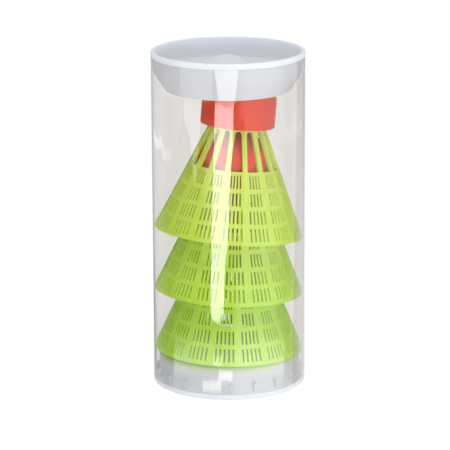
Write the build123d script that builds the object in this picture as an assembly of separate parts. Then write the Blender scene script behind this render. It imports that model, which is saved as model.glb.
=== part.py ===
from build123d import *
import math
import os

# A clear tube pack of three shuttlecocks with moulded plastic skirts.
# Millimetres. Origin at the centre of the pack's foot, +Z up; the tube's seam is on the +X side.
# Each shuttlecock stands on the rim of its skirt, head up, and the head of one sits
# inside the skirt of the next. The upper ones lean in the tube, as loose ones do.
# The tube, caps and stack follow from the size of one shuttlecock.

# ---- Shuttlecock skirt: a moulded cone with ribs at the neck and rows of slots below ----
skirt_length = 38.8
skirt_rim_radius = 26.9
skirt_neck_radius = 10.0
skirt_wall = 0.8
rim_bead_thickness = 1.1
rim_bead_height = 0.9
rib_count = 16
facets_per_rib = 3
rib_width = 2.15
window_top_gap = 0.9
window_length = 13.5
window_arch = 0.8
first_slot_row = 15.7
slot_row_count = 4
slot_row_pitch = 5.8
slot_length = 4.3
slot_width = 1.5
neck_plate = 0.5
stem_radius = 8.0
stem_bore_radius = 6.8
stem_length = 8.0

# ---- Shuttlecock head: moulded foam, its nose a wide crown with rounded shoulders ----
head_radius = 13.4
head_straight = 8.8
nose_height = 11.0
nose_shoulder_radius = 8.5
head_edge_chamfer = 0.4
socket_clearance = 0.05

# ---- How the three stand in the tube ----
lowest_rim_height = 12.3
nest_clearance = 1.95
rim_seat_clearance = 0.3
tube_clearance = 0.5

# The lowest comes first. Shifts of the rim's centre are in shares of the tube clearance; leans of the
# nose from upright, to the right (+X) and back (+Y), and turns about the axis are in degrees.
stack = {
    3: {"shift_right": -0.4, "shift_back": 0.3, "lean_right": 1.6, "lean_back": 0.0, "turn": -3.6},
    2: {"shift_right": -0.3, "shift_back": 0.3, "lean_right": 2.6, "lean_back": 0.8, "turn": 4.7},
    1: {"shift_right": -0.2, "shift_back": -0.4, "lean_right": 5.0, "lean_back": 3.0, "turn": -8.6},
}

# ---- Tube: rolled clear film with one lapped seam ----
film_thickness = 0.2
seam_angle = -16.0
seam_width_angle = 22.0

# ---- Caps, both moulded with the same flange ----
cap_wall = 0.7
flange_thickness = 2.0
flange_edge_chamfer = 0.4
cap_clearance = 0.3

# Lid: a plug with a dished top, and a dome that makes room for the top shuttlecock's nose
nose_below_rim = 7.6
lid_plug_straight = 6.4
lid_plug_depth = 14.0
lid_plug_narrowing = 4.0
lid_plug_edge_chamfer = 0.8
dome_depth_below_rim = 1.7
dome_crown_radius = 12.0
dome_crown_angle = 40.0

# Bottom cap: a plug that the lowest skirt's rim stands on
foot_plug_narrowing = 1.4
foot_flare_height = 2.4
foot_plug_edge_chamfer = 1.0
foot_rib_count = 19
foot_rib_turn = 6.2
foot_rib_height = 3.4
foot_rib_slope = 1.0
foot_rib_width = 0.7

head_length = head_straight + nose_height
tube_inner_radius = skirt_rim_radius + tube_clearance
tube_outer_radius = tube_inner_radius + film_thickness
plug_radius = tube_inner_radius - film_thickness - cap_clearance
for level, place in enumerate(stack.values()):
    place["rim_height"] = lowest_rim_height + level * (head_length + nest_clearance)
pack_height = stack[1]["rim_height"] + skirt_length + head_length + nose_below_rim
tube_height = pack_height - 2 * flange_thickness
skirt_slope = (skirt_rim_radius - skirt_neck_radius) / skirt_length
facet_count = rib_count * facets_per_rib
on_base = (Align.CENTER, Align.CENTER, Align.MIN)


def moulded(*side):
    """A solid from the (radius, height) points up its side. It is in flat facets, narrow enough to be
    nearly round, so that the many repeated pieces stay light."""
    solid = Part()
    for (low_radius, low), (high_radius, high) in zip(side, side[1:]):
        taper = math.atan((low_radius - high_radius) * math.cos(math.pi / facet_count) / (high - low))
        base = Pos(0, 0, low) * RegularPolygon(low_radius, facet_count)
        solid += extrude(base, high - low, taper=math.degrees(taper))
    return solid


def arc_side(centre_radius, centre_height, radius, start, end, flats):
    """Points on an arc of a side, between two angles in degrees up from level."""
    angles = [math.radians(start + (end - start) * k / flats) for k in range(flats + 1)]
    return [(centre_radius + radius * math.cos(a), centre_height + radius * math.sin(a)) for a in angles]


def flange():
    return chamfer(Cylinder(tube_outer_radius, flange_thickness, align=on_base).edges(), flange_edge_chamfer)


def tube():
    """The film, and the lap of its free edge glued inside the seam."""
    lap_inner = tube_inner_radius - film_thickness
    lap = Plane.XZ * Pos((lap_inner + tube_inner_radius) / 2, tube_height / 2) * Rectangle(
        film_thickness, tube_height)
    lap = Rot(0, 0, seam_angle - seam_width_angle / 2) * revolve(lap, Axis.Z, seam_width_angle)
    wall = Cylinder(tube_outer_radius, tube_height, align=on_base)
    wall -= Cylinder(tube_inner_radius, tube_height, align=on_base)
    return Pos(0, 0, flange_thickness) * (wall + lap)


def top_lid():
    taper = math.atan2(lid_plug_narrowing, lid_plug_depth - lid_plug_straight)
    inner_radius = plug_radius - cap_wall
    inner_straight = lid_plug_straight - cap_wall * math.tan(taper / 2)
    bottom, floor = pack_height - lid_plug_depth, pack_height - lid_plug_depth + cap_wall
    edge = lid_plug_edge_chamfer

    def side_radius(height, straight_radius, straight):
        return straight_radius - max(0, pack_height - straight - height) * math.tan(taper)

    plug = moulded(
        (side_radius(bottom, plug_radius, lid_plug_straight) - edge, bottom),
        (side_radius(bottom + edge, plug_radius, lid_plug_straight), bottom + edge),
        (plug_radius, pack_height - lid_plug_straight),
        (plug_radius, pack_height - flange_thickness))
    dish = moulded(
        (side_radius(floor, inner_radius, inner_straight), floor),
        (inner_radius, pack_height - inner_straight),
        (inner_radius, pack_height))
    whole = plug + Pos(0, 0, pack_height - flange_thickness) * flange()
    return whole - (dish - dome(dome_crown_radius, floor)) - dome(dome_crown_radius - cap_wall, bottom)


def dome(crown_radius, foot_height):
    """The room under the lid's dome, or its outside: a cone up to a rounded crown."""
    crown_centre = pack_height - dome_depth_below_rim - dome_crown_radius
    crown = arc_side(0, crown_centre, crown_radius, 90 - dome_crown_angle, 84, 2)
    cone_top_radius, cone_top = crown[0]
    foot_radius = cone_top_radius + (cone_top - foot_height) / math.tan(math.radians(dome_crown_angle))
    return moulded((foot_radius, foot_height), *crown)


def bottom_cap():
    """The plug's top is just under the lowest point of the bottom skirt's rim."""
    lean = math.hypot(math.radians(stack[3]["lean_right"]), math.radians(stack[3]["lean_back"]))
    top = lowest_rim_height - skirt_rim_radius * math.sin(lean) - rim_seat_clearance
    plug_side = plug_radius - foot_plug_narrowing
    flare_top = flange_thickness + foot_flare_height
    edge = foot_plug_edge_chamfer
    plug = moulded((plug_radius, flange_thickness), (plug_side, flare_top), (plug_side, top - edge),
                   (plug_side - edge, top))
    hollow = moulded(
        (plug_radius - cap_wall, 0),
        (plug_radius - cap_wall, flange_thickness - cap_wall),
        (plug_side - cap_wall, flare_top - cap_wall),
        (plug_side - cap_wall, top - cap_wall - edge),
        (plug_side - cap_wall - edge, top - cap_wall))

    rib_root, rib_top = plug_side - cap_wall / 2, flange_thickness + foot_rib_height
    rib = extrude(make_face(Plane.XZ * Polyline(
        (rib_root, flange_thickness), (plug_radius, flange_thickness), (plug_radius, rib_top),
        (rib_root, rib_top + foot_rib_slope), close=True)), foot_rib_width / 2, both=True)
    ribs = [Rot(0, 0, foot_rib_turn + 360 / foot_rib_count * k) * rib for k in range(foot_rib_count)]
    return plug + flange() + ribs - hollow


def skirt_radius(below_neck):
    """Outer radius of the skirt at a distance below its neck."""
    return skirt_neck_radius + skirt_slope * below_neck


def window_half_width(below_neck):
    """Half the gap between two ribs at a distance below the neck."""
    return (2 * math.pi * skirt_radius(below_neck) / rib_count - rib_width) / 2


def radial_cutter(*half_outline):
    """A cutter from the axis outward, from (distance below neck, half width) pairs down one side."""
    right = [(half_width, skirt_length - below) for below, half_width in half_outline]
    left = [(-half_width, height) for half_width, height in reversed(right)]
    return extrude(make_face(Plane.YZ * Polyline(*right, *left, close=True)), skirt_rim_radius + skirt_wall)


def skirt():
    """A skirt with its rim at height 0, widest, and its neck up."""
    across_wall = math.cos(math.atan(skirt_slope))
    wall, bead = skirt_wall / across_wall, rim_bead_thickness / across_wall
    bead_top = skirt_radius(skirt_length - rim_bead_height)
    shell = moulded((skirt_rim_radius, 0), (skirt_neck_radius, skirt_length))
    shell -= moulded((skirt_rim_radius - bead, 0), (bead_top - bead, rim_bead_height))
    shell -= moulded((bead_top - wall, rim_bead_height), (skirt_neck_radius - wall, skirt_length))

    top, bottom = window_top_gap, window_top_gap + window_length
    cutters = [radial_cutter((top, window_half_width(top) / 2), (top + window_arch, window_half_width(top)),
                             (bottom, window_half_width(bottom)))]
    for row in range(slot_row_count):
        start = first_slot_row + slot_row_pitch * row
        cutters.append(radial_cutter((start, slot_width / 2), (start + slot_length, slot_width / 2)))
    turns = [Rot(0, 0, 360 / rib_count * (k + 0.5)) for k in range(rib_count)]
    shell -= [turn * cutter for turn in turns for cutter in cutters]

    plate_bottom = skirt_length - neck_plate
    plate_radius = skirt_neck_radius - wall / 2
    neck = moulded((plate_radius, plate_bottom), (plate_radius, skirt_length))
    neck += moulded((stem_radius, plate_bottom), (stem_radius, skirt_length + stem_length))
    return shell + neck - moulded((stem_bore_radius, plate_bottom), (stem_bore_radius, skirt_length + stem_length))


def head():
    """A head whose flat back is at height 0, with a socket for the skirt's stem."""
    offset = head_radius - nose_shoulder_radius
    crown_radius = nose_height ** 2 + offset ** 2 - nose_shoulder_radius ** 2
    crown_radius /= 2 * (nose_height - nose_shoulder_radius)
    crown_centre = head_length - crown_radius
    meeting = math.degrees(math.atan2(head_straight - crown_centre, offset))
    shoulder = arc_side(offset, head_straight, nose_shoulder_radius, 0, meeting, 3)
    crown = arc_side(0, crown_centre, crown_radius, meeting, 84, 2)
    solid = moulded((head_radius - head_edge_chamfer, 0), (head_radius, head_edge_chamfer),
                    *shoulder, *crown[1:])
    return solid - moulded((stem_radius + socket_clearance, 0),
                           (stem_radius + socket_clearance, stem_length + socket_clearance))


def stand(piece, place):
    """Sets a piece made upright about its rim centre at its place in the stack."""
    towards = Vector(math.tan(math.radians(place["lean_right"])), math.tan(math.radians(place["lean_back"])), 1)
    axis = Axis((0, 0, 0), (-towards.Y, towards.X, 0))
    lean = math.degrees(math.atan(math.hypot(towards.X, towards.Y)))
    rim = (place["shift_right"] * tube_clearance, place["shift_back"] * tube_clearance, place["rim_height"])
    return Pos(*rim) * piece.rotate(Axis.Z, place["turn"]).rotate(axis, lean)


def write(piece, name):
    piece.label = name
    export_step(piece, f"parts/{name}.step")


os.makedirs("parts", exist_ok=True)
write(tube(), "tube")
write(top_lid(), "top_lid")
write(bottom_cap(), "bottom_cap")
one_skirt = skirt()
one_head = Pos(0, 0, skirt_length) * head()
for number, place in stack.items():
    write(stand(one_skirt, place), f"skirt_{number}")
    write(stand(one_head, place), f"head_{number}")
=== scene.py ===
"""Looks for the tube pack of three shuttlecocks: film tube, two plug caps, slotted skirts, foam heads."""
import bpy
import math
from mathutils import Euler, Matrix, Vector

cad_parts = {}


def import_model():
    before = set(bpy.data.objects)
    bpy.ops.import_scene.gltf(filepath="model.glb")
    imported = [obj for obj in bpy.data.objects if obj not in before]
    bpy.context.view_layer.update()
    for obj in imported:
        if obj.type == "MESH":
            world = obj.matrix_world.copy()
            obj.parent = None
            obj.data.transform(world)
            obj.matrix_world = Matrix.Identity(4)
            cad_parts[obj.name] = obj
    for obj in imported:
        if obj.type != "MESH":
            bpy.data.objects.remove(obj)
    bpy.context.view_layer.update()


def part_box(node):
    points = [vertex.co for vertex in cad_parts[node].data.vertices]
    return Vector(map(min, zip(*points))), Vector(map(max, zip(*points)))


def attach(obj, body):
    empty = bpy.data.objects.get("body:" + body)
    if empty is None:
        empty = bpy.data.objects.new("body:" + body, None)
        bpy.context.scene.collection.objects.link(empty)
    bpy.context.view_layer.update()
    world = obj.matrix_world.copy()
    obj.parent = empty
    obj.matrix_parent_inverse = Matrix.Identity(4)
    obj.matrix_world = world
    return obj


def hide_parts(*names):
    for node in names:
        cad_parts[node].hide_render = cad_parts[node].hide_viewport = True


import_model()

MM = 0.001

# ---- Sizes in millimetres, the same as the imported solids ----
pack_height = 122.0
tube_outer_radius = 27.6
film_thickness = 0.2
seam_angle = -19.0
seam_width_angle = 22.0
seam_slant = 3.0
flange_thickness = 2.0
cap_wall = 0.7
plug_radius = 26.9

skirt_length = 38.8
skirt_rim_radius = 26.9
skirt_neck_radius = 10.0
skirt_wall = 0.8
rim_bead_height = 0.9
rim_bead_thickness = 1.1
rib_count = 16
rib_width = 1.8
rib_crown = 0.12
rib_extra_depth = 0.5
window_top_gap = 0.9
window_bottom = 14.4
slot_rows = [(15.7, 20.0), (21.5, 25.8), (27.3, 31.6), (33.1, 37.4)]
slots_per_row = [4, 4, 5, 5]
slot_spacing_angle = 3.6
slot_width = 0.62
neck_plate = 0.5
stem_radius = 8.0
stem_bore_radius = 6.8
stem_length = 8.0

head_radius = 13.4
head_straight = 8.8
nose_height = 11.0
nose_shoulder_radius = 8.5
head_edge_radius = 0.5

foot_rib_count = 19
foot_rib_turn = 6.2

# The lowest comes first. Shifts of the rim's centre are in shares of the tube clearance; leans of the
# nose from upright, to the right (+X) and back (+Y), and turns about the axis are in degrees.
stack = {
    3: {"shift_right": -0.4, "shift_back": 0.3, "lean_right": 1.6, "lean_back": 0.0, "turn": -3.6},
    2: {"shift_right": -0.3, "shift_back": 0.3, "lean_right": 2.6, "lean_back": 0.8, "turn": 4.7},
    1: {"shift_right": -0.2, "shift_back": -0.4, "lean_right": 5.0, "lean_back": 3.0, "turn": 2.6},
}
tube_clearance = 0.5
lowest_rim_height = 12.3
nest_clearance = 1.95
for level, place in enumerate(stack.values()):
    place["rim_height"] = lowest_rim_height + level * (head_straight + nose_height + nest_clearance)

skirt_slope = (skirt_rim_radius - skirt_neck_radius) / skirt_length
skirt_angle = math.atan(skirt_slope)


def skirt_radius(below_neck):
    return skirt_neck_radius + skirt_slope * below_neck


# ---- Materials ----
def new_material(name):
    material = bpy.data.materials.new(name)
    material.use_nodes = True
    nodes = material.node_tree.nodes
    return material, nodes, material.node_tree.links, nodes["Principled BSDF"]


def add_bump(nodes, links, shader, scale, strength, distance, detail=3.0):
    """Fine surface relief from noise in object space."""
    place = nodes.new("ShaderNodeTexCoord")
    noise = nodes.new("ShaderNodeTexNoise")
    noise.inputs["Scale"].default_value = scale
    noise.inputs["Detail"].default_value = detail
    bump = nodes.new("ShaderNodeBump")
    bump.inputs["Strength"].default_value = strength
    bump.inputs["Distance"].default_value = distance
    links.new(place.outputs["Object"], noise.inputs["Vector"])
    links.new(noise.outputs["Fac"], bump.inputs["Height"])
    links.new(bump.outputs["Normal"], shader.inputs["Normal"])
    return noise


def add_tone(nodes, links, shader, low, high, scale):
    """Slight drift of colour over the surface."""
    place = nodes.new("ShaderNodeTexCoord")
    noise = nodes.new("ShaderNodeTexNoise")
    noise.inputs["Scale"].default_value = scale
    ramp = nodes.new("ShaderNodeValToRGB")
    ramp.color_ramp.elements[0].position = 0.35
    ramp.color_ramp.elements[1].position = 0.65
    ramp.color_ramp.elements[0].color = (*low, 1)
    ramp.color_ramp.elements[1].color = (*high, 1)
    links.new(place.outputs["Object"], noise.inputs["Vector"])
    links.new(noise.outputs["Fac"], ramp.inputs["Fac"])
    links.new(ramp.outputs["Color"], shader.inputs["Base Color"])
    return ramp


def skirt_nylon():
    """Fluorescent yellow-green nylon that lets some light through. Its base colour is painted greener lower in
    the stack. This is painted light, since all three skirts are the same nylon.
    """
    material, nodes, links, shader = new_material("skirt_nylon")
    tone = add_tone(nodes, links, shader, (0.75, 0.88, 0.130), (0.81, 0.92, 0.160), 120)
    place, split = nodes.new("ShaderNodeTexCoord"), nodes.new("ShaderNodeSeparateXYZ")
    # Painted light: below 80 mm up, the base colour loses red and blue, down to 0.78 of it at 20 mm, so the lower
    # skirts look greener.
    height = nodes.new("ShaderNodeMapRange")
    height.inputs["From Min"].default_value = 20 * MM
    height.inputs["From Max"].default_value = 80 * MM
    painted_low_green = nodes.new("ShaderNodeValToRGB")
    painted_low_green.color_ramp.elements[0].color = (0.78, 0.95, 0.78, 1)
    painted_low_green.color_ramp.elements[1].color = (1, 1, 1, 1)
    base_with_painted_light = nodes.new("ShaderNodeMix")
    base_with_painted_light.data_type, base_with_painted_light.blend_type = "RGBA", "MULTIPLY"
    base_with_painted_light.inputs["Factor"].default_value = 1.0
    links.new(place.outputs["Object"], split.inputs["Vector"])
    links.new(split.outputs["Z"], height.inputs["Value"])
    links.new(height.outputs["Result"], painted_low_green.inputs["Fac"])
    links.new(tone.outputs["Color"], base_with_painted_light.inputs["A"])
    links.new(painted_low_green.outputs["Color"], base_with_painted_light.inputs["B"])
    links.new(base_with_painted_light.outputs["Result"], shader.inputs["Base Color"])
    shader.inputs["Roughness"].default_value = 0.38
    shader.inputs["Specular IOR Level"].default_value = 0.2
    add_bump(nodes, links, shader, 1400, 0.08, 0.00005)
    through = nodes.new("ShaderNodeBsdfTranslucent")
    through.inputs["Color"].default_value = (0.55, 0.97, 0.05, 1)
    mix = nodes.new("ShaderNodeMixShader")
    mix.inputs["Fac"].default_value = 0.28
    links.new(shader.outputs["BSDF"], mix.inputs[1])
    links.new(through.outputs["BSDF"], mix.inputs[2])
    links.new(mix.outputs["Shader"], nodes["Material Output"].inputs["Surface"])
    return material


def head_foam():
    """Red foam with a smooth moulded skin."""
    material, nodes, links, shader = new_material("head_foam")
    add_tone(nodes, links, shader, (0.68, 0.058, 0.020), (0.74, 0.066, 0.024), 90)
    shader.inputs["Roughness"].default_value = 0.45
    shader.inputs["Specular IOR Level"].default_value = 0.15
    add_bump(nodes, links, shader, 1800, 0.12, 0.00006)
    return material


def cap_plastic():
    """Milky polyethylene: soft, translucent, faintly blue. A green band is painted on the bottom cap's top edge.
    This is painted light, standing in for the bounce from the green skirt that stands on it."""
    no_tint, painted_green_bounce = (1, 1, 1), (0.86, 0.97, 0.62)
    material, nodes, links, shader = new_material("cap_plastic")
    ramp = add_tone(nodes, links, shader, (0.79, 0.81, 0.85), (0.82, 0.84, 0.875), 60)
    shader.inputs["Roughness"].default_value = 0.35
    shader.inputs["Specular IOR Level"].default_value = 0.15
    add_bump(nodes, links, shader, 500, 0.06, 0.0001)

    # Painted light: from about 9 to 13 mm up, the base colour is multiplied by a green band that stands in for
    # light bounced from the skirt above.
    place, split = nodes.new("ShaderNodeTexCoord"), nodes.new("ShaderNodeSeparateXYZ")
    height = nodes.new("ShaderNodeMapRange")
    height.inputs["From Max"].default_value = 2 * lowest_rim_height * MM
    glow = nodes.new("ShaderNodeValToRGB")
    glow.color_ramp.elements.new(0.43)
    glow.color_ramp.elements.new(0.50)
    for element, position, colour in zip(glow.color_ramp.elements, (0.36, 0.43, 0.50, 0.52),
                                         (no_tint, painted_green_bounce, painted_green_bounce, no_tint)):
        element.position, element.color = position, (*colour, 1)
    base_with_painted_light = nodes.new("ShaderNodeMix")
    base_with_painted_light.data_type, base_with_painted_light.blend_type = "RGBA", "MULTIPLY"
    base_with_painted_light.inputs["Factor"].default_value = 1.0
    links.new(place.outputs["Object"], split.inputs["Vector"])
    links.new(split.outputs["Z"], height.inputs["Value"])
    links.new(height.outputs["Result"], glow.inputs["Fac"])
    links.new(ramp.outputs["Color"], base_with_painted_light.inputs["A"])
    links.new(glow.outputs["Color"], base_with_painted_light.inputs["B"])
    links.new(base_with_painted_light.outputs["Result"], shader.inputs["Base Color"])

    through = nodes.new("ShaderNodeBsdfTranslucent")
    links.new(base_with_painted_light.outputs["Result"], through.inputs["Color"])
    mix = nodes.new("ShaderNodeMixShader")
    mix.inputs["Fac"].default_value = 0.45
    links.new(shader.outputs["BSDF"], mix.inputs[1])
    links.new(through.outputs["BSDF"], mix.inputs[2])
    links.new(mix.outputs["Shader"], nodes["Material Output"].inputs["Surface"])
    return material


def clear_film():
    """Thin clear film: it tints what is behind it a little and mirrors the lights by Fresnel."""
    material, nodes, links, shader = new_material("clear_film")
    nodes.remove(shader)
    clear = nodes.new("ShaderNodeBsdfTransparent")
    tint = nodes.new("ShaderNodeValToRGB")
    tint.color_ramp.elements[0].position = 0.76
    tint.color_ramp.elements[1].position = 0.86
    tint.color_ramp.elements[0].color = (0.927, 0.918, 0.910, 1)
    tint.color_ramp.elements[1].color = (0.84, 0.83, 0.83, 1)
    edge = nodes.new("ShaderNodeLayerWeight")
    edge.inputs["Blend"].default_value = 0.5
    links.new(edge.outputs["Facing"], tint.inputs["Fac"])
    lamp_light = nodes.new("ShaderNodeMix")
    lamp_light.data_type = "RGBA"
    lamp_light.inputs["B"].default_value = (1, 1, 1, 1)
    path = nodes.new("ShaderNodeLightPath")
    links.new(path.outputs["Is Shadow Ray"], lamp_light.inputs["Factor"])
    links.new(tint.outputs["Color"], lamp_light.inputs["A"])
    links.new(lamp_light.outputs["Result"], clear.inputs["Color"])
    gloss = nodes.new("ShaderNodeBsdfAnisotropic")
    gloss.inputs["Roughness"].default_value = 0.03
    fresnel = nodes.new("ShaderNodeFresnel")
    fresnel.inputs["IOR"].default_value = 1.48
    geometry = nodes.new("ShaderNodeNewGeometry")
    front = nodes.new("ShaderNodeMath")
    front.operation = "SUBTRACT"
    front.inputs[0].default_value = 1.0
    share = nodes.new("ShaderNodeMath")
    share.operation = "MULTIPLY"
    mix = nodes.new("ShaderNodeMixShader")
    links.new(geometry.outputs["Backfacing"], front.inputs[1])
    links.new(front.outputs[0], share.inputs[0])
    links.new(fresnel.outputs["Fac"], share.inputs[1])
    links.new(share.outputs[0], mix.inputs["Fac"])
    links.new(clear.outputs["BSDF"], mix.inputs[1])
    links.new(gloss.outputs["BSDF"], mix.inputs[2])
    links.new(mix.outputs["Shader"], nodes["Material Output"].inputs["Surface"])
    return material


# ---- Meshes ----
def add_piece(name, points, faces, slot, body, node, smooth_angle=35):
    """A mesh piece from points in millimetres, riding on a body in place of a CAD node."""
    mesh = bpy.data.meshes.new(name)
    mesh.from_pydata([tuple(c * MM for c in p) for p in points], [], faces)
    mesh.validate()
    mesh.update()
    piece = bpy.data.objects.new(name, mesh)
    bpy.context.scene.collection.objects.link(piece)
    mesh.materials.append(looks[slot])
    mesh.shade_smooth()
    mesh.set_sharp_from_angle(angle=math.radians(smooth_angle))
    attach(piece, body)
    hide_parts(node)
    return piece


def lathe(outline, segments=144):
    """A closed surface turned about Z from a closed outline of (radius, height) points."""
    points, rings = [], []
    for radius, height in outline:
        if radius < 1e-6:
            rings.append([len(points)] * segments)
            points.append((0.0, 0.0, height))
            continue
        rings.append(list(range(len(points), len(points) + segments)))
        for k in range(segments):
            angle = 2 * math.pi * k / segments
            points.append((radius * math.cos(angle), radius * math.sin(angle), height))
    faces = []
    for i, low in enumerate(rings):
        high = rings[(i + 1) % len(rings)]
        for k in range(segments):
            nxt = (k + 1) % segments
            corners = list(dict.fromkeys((low[k], low[nxt], high[nxt], high[k])))
            if len(corners) > 2:
                faces.append(corners)
    return points, faces


def arc(centre, radius, start, end, steps=8):
    """Points of an arc between two angles in degrees."""
    angles = [math.radians(start + (end - start) * i / steps) for i in range(steps + 1)]
    return [(centre[0] + radius * math.cos(a), centre[1] + radius * math.sin(a)) for a in angles]


def lean(points, place):
    """Points of a piece made upright about its rim centre, set at its place in the stack."""
    towards = Vector((math.tan(math.radians(place["lean_right"])), math.tan(math.radians(place["lean_back"])), 1))
    tilt = Vector((0, 0, 1)).rotation_difference(towards).to_matrix()
    turn = tilt @ Matrix.Rotation(math.radians(place["turn"]), 3, "Z")
    rim = Vector((place["shift_right"] * tube_clearance, place["shift_back"] * tube_clearance,
                  place["rim_height"]))
    return [tuple(turn @ Vector(p) + rim) for p in points]


# ---- Skirt ----
def skirt_mesh():
    """A slotted skirt, rim at height 0. Columns run down the cone and levels round it;
    each cell between them is either wall or opening."""
    sector = 360 / rib_count
    slot_centres = [slot_spacing_angle / 2 * (i - 4) for i in range(9)]
    column_count = 2 * len(slot_centres) + 1

    def slot_column(column, below_neck):
        if column == column_count - 1:
            return sector / 2
        half = math.degrees(slot_width / 2 / skirt_radius(below_neck))
        return slot_centres[column // 2] + (half if column % 2 else -half)

    def window_half_angle(below_neck):
        return (sector - math.degrees(rib_width / skirt_radius(below_neck))) / 2

    def window_column(column, below_neck):
        if column == column_count - 1:
            return sector / 2
        share = 2 * column / (column_count - 2) - 1
        return share * window_half_angle(below_neck)

    def arch(column, below_neck):
        share = min(abs(2 * column / (column_count - 2) - 1), 1)
        if column == column_count - 1:
            share = 1
        return window_top_gap + arch_height * (1 - math.sqrt(1 - share ** 2))

    arch_height = math.radians(window_half_angle(window_top_gap)) * skirt_radius(window_top_gap)
    levels = [(window_column, lambda c: 0.0), (window_column, lambda c: arch(c, 0))]
    steps = 6
    for i in range(1, steps + 1):
        top = window_top_gap + arch_height
        below = top + (window_bottom - top) * i / steps
        levels.append((window_column, lambda c, b=below: b))
    for top, bottom in slot_rows:
        levels.append((slot_column, lambda c, b=top: b))
        levels.append((slot_column, lambda c, b=bottom: b))
    levels.append((slot_column, lambda c: skirt_length - rim_bead_height))
    levels.append((slot_column, lambda c: skirt_length - rim_bead_height + 0.2))
    levels.append((slot_column, lambda c: skirt_length))

    window_levels = range(1, 1 + steps)
    first_slot_level = steps + 2

    def is_open(level, column):
        if level in window_levels:
            return column < column_count - 2
        row, between = divmod(level - first_slot_level, 2)
        if between or not 0 <= row < len(slot_rows):
            return False
        if column % 2 or column >= column_count - 1:
            return False
        return (column // 2) % 2 == (0 if slots_per_row[row] == 5 else 1)

    def is_rib(column):
        return column == 0 or column >= column_count - 2

    wall = skirt_wall / math.cos(skirt_angle)
    bead = rim_bead_thickness / math.cos(skirt_angle)
    points, index = [], {}
    for level, (column_angle, depth) in enumerate(levels):
        for rib in range(rib_count):
            for column in range(column_count):
                below = depth(column)
                angle = math.radians(sector * rib + column_angle(column, max(below, window_top_gap)))
                outer = skirt_radius(below)
                inner = outer - (bead if level >= len(levels) - 2 else wall)
                beside_window = 1 <= level <= steps + 1
                crown = rib_crown if beside_window and column == column_count - 1 else 0
                depth_added = rib_extra_depth if beside_window and is_rib(column) else 0
                for side, radius in enumerate((outer + crown, inner - depth_added)):
                    index[level, rib, column, side] = len(points)
                    points.append((radius * math.cos(angle), radius * math.sin(angle), skirt_length - below))

    def neighbour(rib, column):
        return (rib, column + 1) if column + 1 < column_count else ((rib + 1) % rib_count, 0)

    def previous(rib, column):
        return (rib, column - 1) if column else ((rib - 1) % rib_count, column_count - 1)

    def solid(level, column):
        return 0 <= level < len(levels) - 1 and not is_open(level, column)

    faces = []
    for level in range(len(levels) - 1):
        for rib in range(rib_count):
            for column in range(column_count):
                if not solid(level, column):
                    continue
                next_rib, next_column = neighbour(rib, column)
                before = previous(rib, column)[1]

                def corner(down, across, side):
                    r, c = (next_rib, next_column) if across else (rib, column)
                    return index[level + down, r, c, side]

                faces.append([corner(0, 0, 0), corner(1, 0, 0), corner(1, 1, 0), corner(0, 1, 0)])
                faces.append([corner(0, 1, 1), corner(1, 1, 1), corner(1, 0, 1), corner(0, 0, 1)])
                if not solid(level, before):
                    faces.append([corner(0, 0, 1), corner(1, 0, 1), corner(1, 0, 0), corner(0, 0, 0)])
                if not solid(level, next_column):
                    faces.append([corner(0, 1, 0), corner(1, 1, 0), corner(1, 1, 1), corner(0, 1, 1)])
                if not solid(level - 1, column):
                    faces.append([corner(0, 1, 1), corner(0, 0, 1), corner(0, 0, 0), corner(0, 1, 0)])
                if not solid(level + 1, column):
                    faces.append([corner(1, 1, 0), corner(1, 0, 0), corner(1, 0, 1), corner(1, 1, 1)])
    return points, faces


def stem_mesh():
    """The plate across the neck and the hollow stem that holds the head."""
    edge = skirt_radius(neck_plate) - skirt_wall
    top, low = skirt_length + stem_length, skirt_length - neck_plate
    return lathe([(edge, skirt_length), (stem_radius, skirt_length), (stem_radius, top),
                  (stem_bore_radius, top), (stem_bore_radius, low), (edge, low)], 96)


def head_mesh():
    """A head standing on the skirt's neck: flat back, straight side and a rounded nose."""
    offset = head_radius - nose_shoulder_radius
    crown_radius = (offset ** 2 + nose_height ** 2 - nose_shoulder_radius ** 2)
    crown_radius /= 2 * (nose_height - nose_shoulder_radius)
    crown_centre = head_straight + nose_height - crown_radius
    meet = math.degrees(math.atan2(head_straight - crown_centre, offset))
    outline = [(0, stem_length + 0.1), (stem_radius, stem_length + 0.1), (stem_radius + 0.05, 0.0)]
    outline += arc((head_radius - head_edge_radius, head_edge_radius), head_edge_radius, -90, 0, 5)
    outline += arc((offset, head_straight), nose_shoulder_radius, 0, meet, 14)
    outline += arc((0, crown_centre), crown_radius, meet, 90, 16)[1:-1]
    outline += [(0, head_straight + nose_height)]
    points, faces = lathe(outline, 128)
    return [(x, y, z + skirt_length) for x, y, z in points], faces


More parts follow.
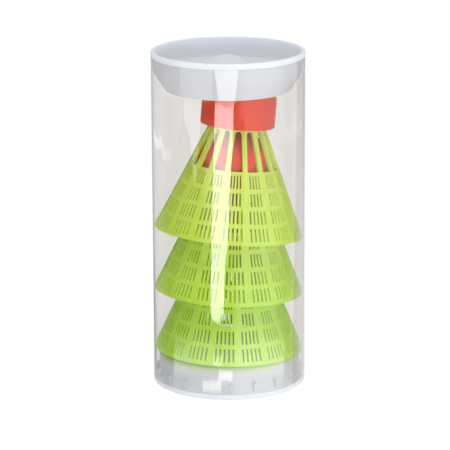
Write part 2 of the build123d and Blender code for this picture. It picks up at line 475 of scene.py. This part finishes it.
# ---- Caps ----
def lid_mesh():
    """The lid: flange, tapered plug and dished top with the dome."""
    depth = 14.0
    straight = 6.4
    bottom_radius = 22.9
    taper = math.degrees(math.atan2(plug_radius - bottom_radius, depth - straight))
    dome_radius, dome_angle = 12.0, 40.0
    crown_centre = pack_height - 1.7 - dome_radius
    under = pack_height - flange_thickness

    def dome(radius, floor):
        tangent = arc((0, crown_centre), radius, 90 - dome_angle, 90, 12)
        foot = tangent[0][0] + (tangent[0][1] - floor) / math.tan(math.radians(dome_angle))
        return foot, tangent

    floor = pack_height - depth
    foot, tangent = dome(dome_radius - cap_wall, floor)
    edge = 1.1
    turn = 90 - taper
    centre = (bottom_radius - edge * 0.9, floor + edge)
    outline = [(0, tangent[-1][1])] + [p for p in reversed(tangent[:-1])]
    outline += [(foot, floor)]
    outline += arc(centre, edge, -90, -taper, 6)
    outline += arc((plug_radius - 3.0, pack_height - straight), 3.0, -taper, 0, 5)
    outline += [(plug_radius, under)]
    outline += arc((tube_outer_radius - 0.4, under + 0.4), 0.4, -90, 0, 4)
    outline += arc((tube_outer_radius - 0.6, pack_height - 0.6), 0.6, 0, 90, 5)
    inner = plug_radius - cap_wall
    outline += arc((inner + 0.35, pack_height - 0.35), 0.35, 90, 180, 4)
    outline += arc((inner - 2.6, pack_height - straight), 2.6, 0, -taper, 5)
    floor_inner = floor + cap_wall
    outline += arc((bottom_radius - cap_wall - 1.3, floor_inner + 1.2), 1.2, -taper, -90, 6)
    foot, tangent = dome(dome_radius, floor_inner)
    outline += [(foot, floor_inner)] + tangent[:-1] + [(0, tangent[-1][1])]
    return lathe(outline, 192)


def bottom_cap_mesh():
    """The bottom cap: flange, flare and plug, with small ribs round its foot."""
    plug = 25.5
    flare_top = flange_thickness + 2.4
    low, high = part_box("bottom_cap")
    top = high[2] / MM
    outline = [(0, top)]
    outline += arc((plug - 1.0, top - 1.0), 1.0, 90, 0, 6)
    outline += [(plug, flare_top), (plug_radius, flange_thickness)]
    outline += arc((tube_outer_radius - 0.6, flange_thickness - 0.6), 0.6, 90, 0, 5)
    outline += arc((tube_outer_radius - 0.6, 0.6), 0.6, 0, -90, 5)
    inner = plug - cap_wall
    outline += [(plug_radius - cap_wall, 0), (plug_radius - cap_wall, flange_thickness - cap_wall),
                (inner, flare_top - cap_wall)]
    outline += arc((inner - 1.0, top - cap_wall - 1.0), 1.0, 0, 90, 6)
    outline += [(0, top - cap_wall)]
    points, faces = lathe(list(reversed(outline)), 192)
    for k in range(foot_rib_count):
        add_gusset(points, faces, 360 / foot_rib_count * k + foot_rib_turn, plug - 0.3, plug_radius,
                   flange_thickness, flange_thickness + 4.4)
    return points, faces


def add_gusset(points, faces, angle, inner_radius, outer_radius, foot, tip, width=1.0):
    """A small upright rib that stands out from the plug, widest at its foot on the flange."""
    turn = Matrix.Rotation(math.radians(angle), 3, "Z")
    first = len(points)
    for side in (-width / 2, width / 2):
        for radius, z in ((inner_radius, foot), (outer_radius, foot), (outer_radius, foot + 0.75 * (tip - foot)),
                          (inner_radius, tip)):
            points.append(tuple(turn @ Vector((radius, side, z))))
    loops = [[0, 1, 2, 3], [7, 6, 5, 4]] + [[i, i + 4, (i + 1) % 4 + 4, (i + 1) % 4] for i in range(4)]
    faces.extend([first + i for i in loop] for loop in loops)


# ---- Tube ----
def film_mesh():
    """The film as one strip rolled round, its inner end lapped under its outer end."""
    bottom, top = flange_thickness, pack_height - flange_thickness
    start = seam_angle + seam_width_angle / 2
    end = start + 360 + seam_width_angle * -1 + seam_width_angle
    lap_start = end - seam_width_angle
    steps = 256
    points, faces = [], []
    total = 360 + seam_width_angle
    first_angle = seam_angle - seam_width_angle / 2
    ease = 5.0
    for i in range(steps + 1):
        along = total * i / steps
        under = max(0.0, min(1.0, (along - (360 - ease)) / ease))
        outer = tube_outer_radius - film_thickness * under
        for radius in (outer, outer - film_thickness):
            for z, slant in ((bottom, -seam_slant), (top, seam_slant)):
                angle = math.radians(first_angle + along + slant)
                points.append((radius * math.cos(angle), radius * math.sin(angle), z))
    for i in range(steps):
        a, b = 4 * i, 4 * (i + 1)
        faces += [[a, b, b + 1, a + 1], [a + 2, a + 3, b + 3, b + 2], [a + 1, b + 1, b + 3, a + 3],
                  [a, a + 2, b + 2, b]]
    last = 4 * steps
    faces += [[0, 1, 3, 2], [last, last + 2, last + 3, last + 1]]
    return points, faces


# ---- Assembly ----
looks = {"skirt_nylon": skirt_nylon(), "head_foam": head_foam(), "cap_plastic": cap_plastic(),
         "clear_film": clear_film()}
skirt_points, skirt_faces = skirt_mesh()
stem_points, stem_faces = stem_mesh()
head_points, head_faces = head_mesh()
for number, place in stack.items():
    body = f"shuttlecock_{number}"
    node = f"skirt_{number}"
    joined = skirt_points + stem_points
    shifted = [[i + len(skirt_points) for i in face] for face in stem_faces]
    add_piece(f"{node}_wall", lean(joined, place), skirt_faces + shifted, "skirt_nylon", body, node)
    add_piece(f"head_{number}_foam", lean(head_points, place), head_faces, "head_foam", body, f"head_{number}")
add_piece("top_lid_shell", *lid_mesh(), "cap_plastic", "top_lid", "top_lid", 40)
add_piece("bottom_cap_shell", *bottom_cap_mesh(), "cap_plastic", "bottom_cap", "bottom_cap", 40)
add_piece("tube_film", *film_mesh(), "clear_film", "tube", "tube", 60)


# ---- Stage, lights and camera ----
def stage():
    """A white floor that keeps the object's soft shadow. Gloss sees past it, as on a glass table."""
    bpy.ops.mesh.primitive_plane_add(size=8)
    floor = bpy.context.object
    floor.name = "floor"
    material, nodes, links, shader = new_material("floor_white")
    nodes.remove(shader)
    paint = nodes.new("ShaderNodeBsdfDiffuse")
    paint.inputs["Color"].default_value = (0.9, 0.9, 0.9, 1)
    glow = nodes.new("ShaderNodeEmission")
    glow.inputs["Strength"].default_value = floor_glow_strength
    lit = nodes.new("ShaderNodeMixShader")
    lit.inputs["Fac"].default_value = floor_glow_share
    to_gloss = nodes.new("ShaderNodeMixShader")
    clear = nodes.new("ShaderNodeBsdfTransparent")
    path = nodes.new("ShaderNodeLightPath")
    links.new(paint.outputs["BSDF"], lit.inputs[1])
    links.new(glow.outputs["Emission"], lit.inputs[2])
    links.new(path.outputs["Is Glossy Ray"], to_gloss.inputs["Fac"])
    links.new(lit.outputs["Shader"], to_gloss.inputs[1])
    links.new(clear.outputs["BSDF"], to_gloss.inputs[2])
    links.new(to_gloss.outputs["Shader"], nodes["Material Output"].inputs["Surface"])
    floor.data.materials.append(material)


def world():
    """Even light for the surfaces, white where the camera sees it. Gloss meets a white backdrop behind
    the pack, a dim room in front of it and a lighter wall on the right."""
    studio = bpy.data.worlds.new("studio")
    bpy.context.scene.world = studio
    studio.use_nodes = True
    nodes, links = studio.node_tree.nodes, studio.node_tree.links

    def light(colour, strength):
        background = nodes.new("ShaderNodeBackground")
        background.inputs["Color"].default_value = (*colour, 1)
        background.inputs["Strength"].default_value = strength
        return background

    def share(axis, start, end, strength):
        """A strength that grows from nothing between two values of a direction's X or Y, or of a texture."""
        grow = nodes.new("ShaderNodeMapRange")
        grow.interpolation_type = "SMOOTHSTEP"
        grow.inputs["From Min"].default_value = start
        grow.inputs["From Max"].default_value = end
        grow.inputs["To Max"].default_value = strength
        links.new(split.outputs[axis] if isinstance(axis, str) else axis, grow.inputs["Value"])
        return grow.outputs["Result"]

    direction = nodes.new("ShaderNodeTexCoord")
    split = nodes.new("ShaderNodeSeparateXYZ")
    links.new(direction.outputs["Generated"], split.inputs["Vector"])
    def combine(operation, one, other):
        """Two strengths added or multiplied; the second may be a plain number."""
        node = nodes.new("ShaderNodeMath")
        node.operation = operation
        links.new(one, node.inputs[0])
        if isinstance(other, float):
            node.inputs[1].default_value = other
        else:
            links.new(other, node.inputs[1])
        return node.outputs[0]

    backdrop = share("Y", 0.15, 0.55, 0.6)
    wall = combine("MULTIPLY", share("X", 0.05, 0.35, wall_strength), share("Y", 0.45, -0.5, 1.0))
    skew = combine("ADD", split.outputs["Y"], combine("MULTIPLY", split.outputs["X"], -0.2))
    near_edge = combine("ADD", share("Z", -0.311, -0.307, 0.75), 0.25)
    table = combine("MULTIPLY", share("Z", -0.291, -0.306, 4.8), near_edge)
    table = combine("MULTIPLY", table, share(skew, 0.19, 0.13, 1.0))
    total = combine("ADD", combine("ADD", backdrop, wall), dim_room_strength)
    total = combine("ADD", total, table)
    room = light((0.95, 0.98, 1.0), 1.0)
    links.new(total, room.inputs["Strength"])

    path = nodes.new("ShaderNodeLightPath")
    to_gloss, to_camera = nodes.new("ShaderNodeMixShader"), nodes.new("ShaderNodeMixShader")
    white = nodes["Background"]
    white.inputs["Color"].default_value = (1, 1, 1, 1)
    white.inputs["Strength"].default_value = 1.0
    links.new(path.outputs["Is Glossy Ray"], to_gloss.inputs["Fac"])
    links.new(light((1.0, 0.985, 0.975), ambient_strength).outputs["Background"], to_gloss.inputs[1])
    links.new(room.outputs["Background"], to_gloss.inputs[2])
    seen = combine("ADD", path.outputs["Is Camera Ray"], path.outputs["Is Transmission Ray"])
    links.new(seen, to_camera.inputs["Fac"])
    links.new(to_gloss.outputs["Shader"], to_camera.inputs[1])
    links.new(white.outputs["Background"], to_camera.inputs[2])
    links.new(to_camera.outputs["Shader"], nodes["World Output"].inputs["Surface"])


def facing(azimuth, elevation, distance, centre_height=0.06):
    """Place and turn of something that faces the pack from outside the picture. Azimuth 0 is the
    camera's side, positive to its right."""
    around, up = math.radians(azimuth), math.radians(elevation)
    away = Vector((math.sin(around) * math.cos(up), -math.cos(around) * math.cos(up), math.sin(up)))
    return Vector((0, 0, centre_height)) + distance * away, (-away).to_track_quat("-Z", "Y")


def softbox(name, azimuth, elevation, distance, width, tall, radiance, seen_in_gloss=False):
    """A rectangular lamp."""
    light = bpy.data.lights.new(name, "AREA")
    light.shape = "RECTANGLE"
    light.size, light.size_y = width, tall
    light.energy = radiance * math.pi * width * tall
    lamp = bpy.data.objects.new(name, light)
    bpy.context.scene.collection.objects.link(lamp)
    lamp.location, turn = facing(azimuth, elevation, distance)
    lamp.rotation_euler = turn.to_euler()
    lamp.visible_glossy = seen_in_gloss


def reflected_card(name, columns, distance, radiance):
    """A glowing card that only gloss sees, bent round the pack. Each column is its azimuth and its lowest
    and highest elevation, in degrees seen from the middle of the pack."""
    points = []
    for azimuth, lowest, highest in columns:
        around = math.radians(azimuth)
        for elevation in (lowest, highest):
            away = Vector((math.sin(around), -math.cos(around), math.tan(math.radians(elevation))))
            points.append(Vector((0, 0, 0.06)) + distance * away)
    faces = [[2 * i, 2 * i + 2, 2 * i + 3, 2 * i + 1] for i in range(len(columns) - 1)]
    mesh = bpy.data.meshes.new(name)
    mesh.from_pydata(points, [], faces)
    card = bpy.data.objects.new(name, mesh)
    bpy.context.scene.collection.objects.link(card)
    material, nodes, links, shader = new_material(name)
    nodes.remove(shader)
    glow = nodes.new("ShaderNodeEmission")
    glow.inputs["Strength"].default_value = radiance
    links.new(glow.outputs["Emission"], nodes["Material Output"].inputs["Surface"])
    mesh.materials.append(material)
    card.visible_diffuse = card.visible_camera = card.visible_shadow = card.visible_transmission = False


floor_glow_share = 0.75
floor_glow_strength = 1.08
ambient_strength = 0.76
dim_room_strength = 0.12
wall_strength = 2.6


def camera():
    """The viewpoint: a long lens, slightly above the pack."""
    distance, elevation, roll = 0.90, 14.44, -0.23
    target = Vector((0, 0, 0.060))
    data = bpy.data.cameras.new("camera")
    data.lens = 198.8
    data.sensor_width = 36
    data.shift_x = -0.0082
    data.shift_y = -0.0142
    view = bpy.data.objects.new("camera", data)
    bpy.context.scene.collection.objects.link(view)
    up = math.radians(elevation)
    view.location = target + distance * Vector((0, -math.cos(up), math.sin(up)))
    level = Euler((math.radians(90 - elevation), 0, 0)).to_matrix()
    view.rotation_euler = (level @ Matrix.Rotation(math.radians(roll), 3, "Z")).to_euler()
    bpy.context.scene.camera = view


stage()
world()
reflected_card("window_top", [(-25.6, -7.0, -6.3), (-18.5, -8.4, -6.3), (5.5, -8.4, -6.3), (9.2, -6.9, -6.3)],
               0.9, 8.5)
reflected_card("window", [(-25.4, -17.3, -15.2), (-24.0, -17.9, -8.4), (-9, -18.1, -8.4), (-5.2, -17.8, -8.4),
                          (-5, -15.6, -8.4), (-1.5, -14.9, -8.4), (3.5, -9.3, -8.4)], 0.9, 15.5)
for step in range(3):
    left, right, low, high = -40 + 4 * step, 20 - 5 * step, -15.5 + 0.8 * step, -9.4 - 0.5 * step
    reflected_card("window_glow", [(left + (right - left) * column / 6, low, high) for column in range(7)],
                   0.98 - 0.01 * step, 0.9 + 0.9 * step)
reflected_card("rim_spark", [(-19.5, -19.9, -19.6), (-6.5, -19.9, -19.55)], 0.9, 12.0)
reflected_card("foot_window_right", [(az, -20.65, -20.2) for az in (-11, -4, 3, 10)], 0.9, 13.0)
reflected_card("foot_window_left", [(az, -21.1, -20.65) for az in (-35, -28, -21, -14, -6.5)], 0.9, 12.0)
reflected_card("left_wall_high", [(-72, -9.3, -8.4), (-62, -10, -8.4), (-52, -12.5, -8.4), (-46, -9.8, -8.4)],
               0.9, 3.4)
reflected_card("lid_window", [(az, -8.35, -6.0) for az in (-80, -67, -54, -41, -28)], 0.9, 2.7)
reflected_card("lid_wall", [(az, -8.35, -6.0) for az in (-115, -103, -91, -80)], 0.9, 1.1)
reflected_card("left_wall_low", [(-150, -10.5, -10.1), (-125, -10.8, -10.2), (-97, -11.1, -10.7)], 0.9, 1.9)
reflected_card("right_wall", [(96, -22, -5), (104, -22, -5), (112, -22, -5)], 0.9, 1.1)
reflected_card("edge_window", [(113, -22, -5), (122, -22, -5)], 0.9, 1.6)
reflected_card("edge_wall", [(az, -22, -5) for az in (122, 134, 146, 158, 170)], 0.9, 1.15)
softbox("key", 18, 0, 1.0, 0.9, 0.30, 9.3)
softbox("top", 0, 80, 0.9, 0.7, 0.7, 2.6)
camera()
bpy.context.scene.view_settings.view_transform = "Standard"
